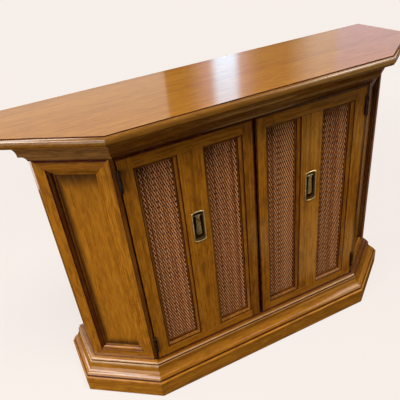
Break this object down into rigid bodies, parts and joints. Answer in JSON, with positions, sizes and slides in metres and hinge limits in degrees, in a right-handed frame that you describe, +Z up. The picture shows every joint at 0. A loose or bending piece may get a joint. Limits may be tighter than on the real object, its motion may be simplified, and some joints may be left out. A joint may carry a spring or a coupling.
{
  "type": "console cabinet",
  "caption": "Console cabinet with canted ends, a moulded top and base, and a pair of hinged cane-panelled doors with recessed drop pulls.",
  "frame": {"origin": "on the floor under the middle of the top", "axes": "+X along the cabinet's length to the right as seen from the front, +Y from the doors to the back, +Z up"},
  "size_m": [1.0516, 0.3132, 0.762],
  "materials": {
    "top_wood": "polished lacquer over warm brown veneer",
    "frame_wood": "satin lacquer over golden brown wood",
    "panel_wood": "satin lacquer over golden brown veneer",
    "inner_wood": "plain sealed board",
    "woven_cane": "woven cane over a thin board",
    "antique_brass": "aged brass, rubbed bright on the rim",
    "dark_bronze": "dark bronze",
    "plated_steel": "zinc plated",
    "catch_plastic": "moulded, matte"
  },
  "bodies": {
    "carcase": {"top_panel": "top_wood", "cornice_front": "frame_wood", "cornice_left": "frame_wood", "cornice_right": "frame_wood", "base_cap_front": "frame_wood", "base_cap_left": "frame_wood", "base_cap_right": "frame_wood", "plinth_front": "frame_wood", "plinth_left": "frame_wood", "plinth_right": "frame_wood", "plinth_back": "inner_wood", "floor_board": "inner_wood", "shelf": "inner_wood", "back_panel": "inner_wood", "end_board_left": "frame_wood", "end_board_right": "frame_wood", "jamb_left": "frame_wood", "jamb_right": "frame_wood", "head_rail": "frame_wood", "door_catch": "catch_plastic", "cant_left_panel": "panel_wood", "cant_left_bottom_rail": "frame_wood", "cant_left_rear_stile": "frame_wood", "cant_left_top_rail": "frame_wood", "cant_left_front_stile": "frame_wood", "cant_right_panel": "panel_wood", "cant_right_bottom_rail": "frame_wood", "cant_right_rear_stile": "frame_wood", "cant_right_top_rail": "frame_wood", "cant_right_front_stile": "frame_wood", "hinge_left_top_jamb_leaf": "dark_bronze", "hinge_left_bottom_jamb_leaf": "dark_bronze", "hinge_right_top_jamb_leaf": "dark_bronze", "hinge_right_bottom_jamb_leaf": "dark_bronze"},
    "door_left": {"door_left_hinge_stile": "frame_wood", "door_left_meeting_stile": "frame_wood", "door_left_centre_stile": "frame_wood", "door_left_top_rail": "frame_wood", "door_left_bottom_rail": "frame_wood", "door_left_bead_inner": "frame_wood", "door_left_bead_outer": "frame_wood", "door_left_cane_board": "woven_cane", "door_left_strike_plate": "plated_steel", "door_left_pull_cup": "antique_brass", "hinge_left_top_door_leaf": "dark_bronze", "hinge_left_bottom_door_leaf": "dark_bronze"},
    "door_right": {"door_right_hinge_stile": "frame_wood", "door_right_meeting_stile": "frame_wood", "door_right_centre_stile": "frame_wood", "door_right_top_rail": "frame_wood", "door_right_bottom_rail": "frame_wood", "door_right_bead_inner": "frame_wood", "door_right_bead_outer": "frame_wood", "door_right_cane_board": "woven_cane", "door_right_strike_plate": "plated_steel", "door_right_pull_cup": "antique_brass", "hinge_right_top_door_leaf": "dark_bronze", "hinge_right_bottom_door_leaf": "dark_bronze"},
    "pull_left": {"door_left_pull_drop": "antique_brass"},
    "pull_right": {"door_right_pull_drop": "antique_brass"}
  },
  "joints": [
    {"name": "door_left_hinge", "type": "hinge", "parent": "carcase", "child": "door_left", "pos_m": [-0.322, -0.10661, 0.393], "axis": [0, 0, -1], "range_deg": [0, 120]},
    {"name": "door_right_hinge", "type": "hinge", "parent": "carcase", "child": "door_right", "pos_m": [0.322, -0.10661, 0.393], "axis": [0, 0, 1], "range_deg": [0, 120]},
    {"name": "pull_left_swing", "type": "hinge", "parent": "door_left", "child": "pull_left", "pos_m": [-0.16025, -0.09961, 0.49375], "axis": [-1, 0, 0], "range_deg": [-4, 90]},
    {"name": "pull_right_swing", "type": "hinge", "parent": "door_right", "child": "pull_right", "pos_m": [0.16025, -0.09961, 0.49375], "axis": [-1, 0, 0], "range_deg": [-4, 90]}
  ]
}
